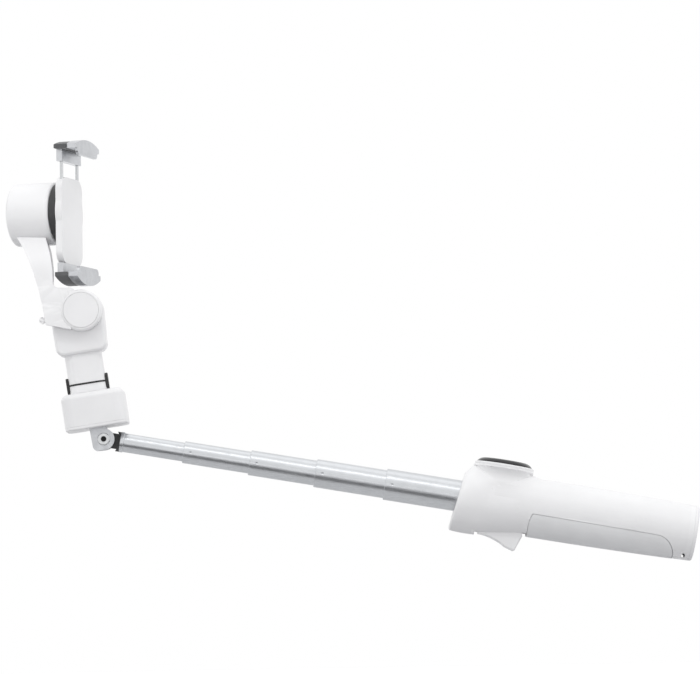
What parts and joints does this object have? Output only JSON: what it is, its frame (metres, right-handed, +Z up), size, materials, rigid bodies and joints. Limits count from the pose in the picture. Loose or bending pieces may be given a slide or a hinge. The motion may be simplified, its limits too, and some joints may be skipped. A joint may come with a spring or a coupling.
{
  "type": "phone gimbal stabilizer",
  "caption": "Hand-held phone gimbal on a telescopic stick, with a folding head, three motor axes, a sprung phone clamp and a grip with thumb controls.",
  "frame": {"origin": "centre of the handle's end face", "axes": "+Z is up with the stick sloping 10 degrees down to the hand, +X points from the head towards the hand, +Y points to the far side with the motor arm on the -Y side"},
  "size_m": [0.3986, 0.0483, 0.2496],
  "materials": {
    "alu": "drawn and polished",
    "black_gloss": "gloss",
    "black_rubber": "matte",
    "board": "solder mask",
    "brass": "turned",
    "cell": "sleeve",
    "copper": "enamelled winding",
    "dark_plastic": "matte",
    "grey_rubber": "matte",
    "magnet": "nickel plated",
    "red_key": "gloss",
    "silver": "fine blasted",
    "soft_pad": "light grey silicone",
    "steel": "turned",
    "white_shell": "soft matte white"
  },
  "bodies": {
    "handle": {"handle_shell_left": "white_shell", "handle_shell_right": "white_shell", "grip_pad": "soft_pad", "stick_bush": "dark_plastic", "stick_sleeve": "dark_plastic", "battery_tube": "dark_plastic", "battery": "cell", "end_cap": "white_shell", "thread_insert": "brass", "main_board": "board", "pod_bezel": "white_shell", "control_disc": "black_gloss", "joystick_base": "dark_plastic", "usb_socket": "steel", "trigger_pin": "steel", "trigger_spring": "steel", "trigger_switch": "dark_plastic", "handle_screws": "steel"},
    "tube_5_body": {"tube_5": "alu"},
    "tube_4_body": {"tube_4": "alu"},
    "tube_3_body": {"tube_3": "alu"},
    "tube_2_body": {"tube_2": "alu"},
    "tube_1_body": {"tube_1": "alu", "tip_plug": "dark_plastic", "tip_tongue": "dark_plastic"},
    "pan_base": {"hinge_clevis": "silver", "hinge_pin": "steel", "hinge_washers": "dark_plastic", "pan_housing": "white_shell", "pan_base_plate": "white_shell", "pan_stator": "copper", "pan_bearing": "steel"},
    "neck": {"pan_rotor": "steel", "neck_shell_near": "white_shell", "neck_shell_far": "white_shell", "neck_gasket": "black_rubber", "tilt_stator": "copper", "tilt_bearing": "steel"},
    "arm": {"tilt_rotor": "steel", "arm_shell": "white_shell", "arm_hub_cap": "white_shell", "roll_cover": "white_shell", "roll_stator": "copper", "roll_bearing": "steel"},
    "roll_head": {"roll_rotor": "steel", "magnet_plate": "dark_plastic"},
    "clamp": {"clamp_base": "white_shell", "magnet_ring": "magnet", "clamp_spring": "steel", "lower_jaw": "silver", "lower_pad": "grey_rubber"},
    "upper_jaw_body": {"upper_jaw": "silver", "upper_pad": "grey_rubber", "clamp_rods": "steel"},
    "trigger_body": {"trigger": "white_shell"},
    "joystick_gimbal": {"joystick_ring": "steel"},
    "joystick": {"joystick_cap": "black_rubber"},
    "record_key": {"record_button": "red_key"},
    "mode_key": {"mode_button": "black_gloss"},
    "power_key": {"power_button": "soft_pad"}
  },
  "joints": [
    {"name": "tube_5_slide", "type": "slide", "parent": "handle", "child": "tube_5_body", "axis": [0.9848, 0, -0.1736], "range_m": [0, 0.043]},
    {"name": "tube_4_slide", "type": "slide", "parent": "tube_5_body", "child": "tube_4_body", "axis": [0.9848, 0, -0.1736], "range_m": [0, 0.0403]},
    {"name": "tube_3_slide", "type": "slide", "parent": "tube_4_body", "child": "tube_3_body", "axis": [0.9848, 0, -0.1736], "range_m": [0, 0.0379]},
    {"name": "tube_2_slide", "type": "slide", "parent": "tube_3_body", "child": "tube_2_body", "axis": [0.9848, 0, -0.1736], "range_m": [0, 0.0382]},
    {"name": "tube_1_slide", "type": "slide", "parent": "tube_2_body", "child": "tube_1_body", "axis": [0.9848, 0, -0.1736], "range_m": [0, 0.0285]},
    {"name": "head_fold", "type": "hinge", "parent": "tube_1_body", "child": "pan_base", "pos_m": [-0.34074, 0, 0.06008], "axis": [0, 1, 0], "range_deg": [-72, 18]},
    {"name": "pan", "type": "hinge", "parent": "pan_base", "child": "neck", "pos_m": [-0.3452, 0, 0.05945], "axis": [-0.1409, 0, 0.99], "range_deg": [-150, 150]},
    {"name": "tilt", "type": "hinge", "parent": "neck", "child": "arm", "pos_m": [-0.3524, 0, 0.13418], "axis": [0, 1, 0], "range_deg": [-70, 60]},
    {"name": "roll", "type": "hinge", "parent": "arm", "child": "roll_head", "pos_m": [-0.3524, 0, 0.19218], "axis": [0.9563, -0.2924, 0], "range_deg": [-60, 90]},
    {"name": "clamp_pull", "type": "slide", "parent": "roll_head", "child": "clamp", "axis": [0.9563, -0.2924, 0], "range_m": [0, 0.01]},
    {"name": "jaw_slide", "type": "slide", "parent": "clamp", "child": "upper_jaw_body", "axis": [0, 0, 1], "range_m": [-0.0075, 0.0125]},
    {"name": "trigger_press", "type": "hinge", "parent": "handle", "child": "trigger_body", "pos_m": [-0.12333, 0, 0.00601], "axis": [0, -1, 0], "range_deg": [0, 5], "stiffness_Nm_per_rad": 0.3, "springref_deg": -2.86},
    {"name": "joystick_x", "type": "hinge", "parent": "handle", "child": "joystick_gimbal", "pos_m": [-0.10969, 0, 0.04016], "axis": [0.9848, 0, -0.1736], "range_deg": [-10, 10], "stiffness_Nm_per_rad": 0.02},
    {"name": "joystick_y", "type": "hinge", "parent": "joystick_gimbal", "child": "joystick", "pos_m": [-0.10969, 0, 0.04016], "axis": [0, 1, 0], "range_deg": [-10, 10], "stiffness_Nm_per_rad": 0.02},
    {"name": "record_press", "type": "slide", "parent": "handle", "child": "record_key", "axis": [-0.1736, 0, -0.9848], "range_m": [0, 0.0006], "stiffness_N_per_m": 900, "springref_m": -0.0006},
    {"name": "mode_press", "type": "slide", "parent": "handle", "child": "mode_key", "axis": [-0.1736, 0, -0.9848], "range_m": [0, 0.0006], "stiffness_N_per_m": 900, "springref_m": -0.0006},
    {"name": "power_press", "type": "slide", "parent": "handle", "child": "power_key", "axis": [0, -1, 0], "range_m": [0, 0.0005], "stiffness_N_per_m": 900, "springref_m": -0.0006}
  ]
}
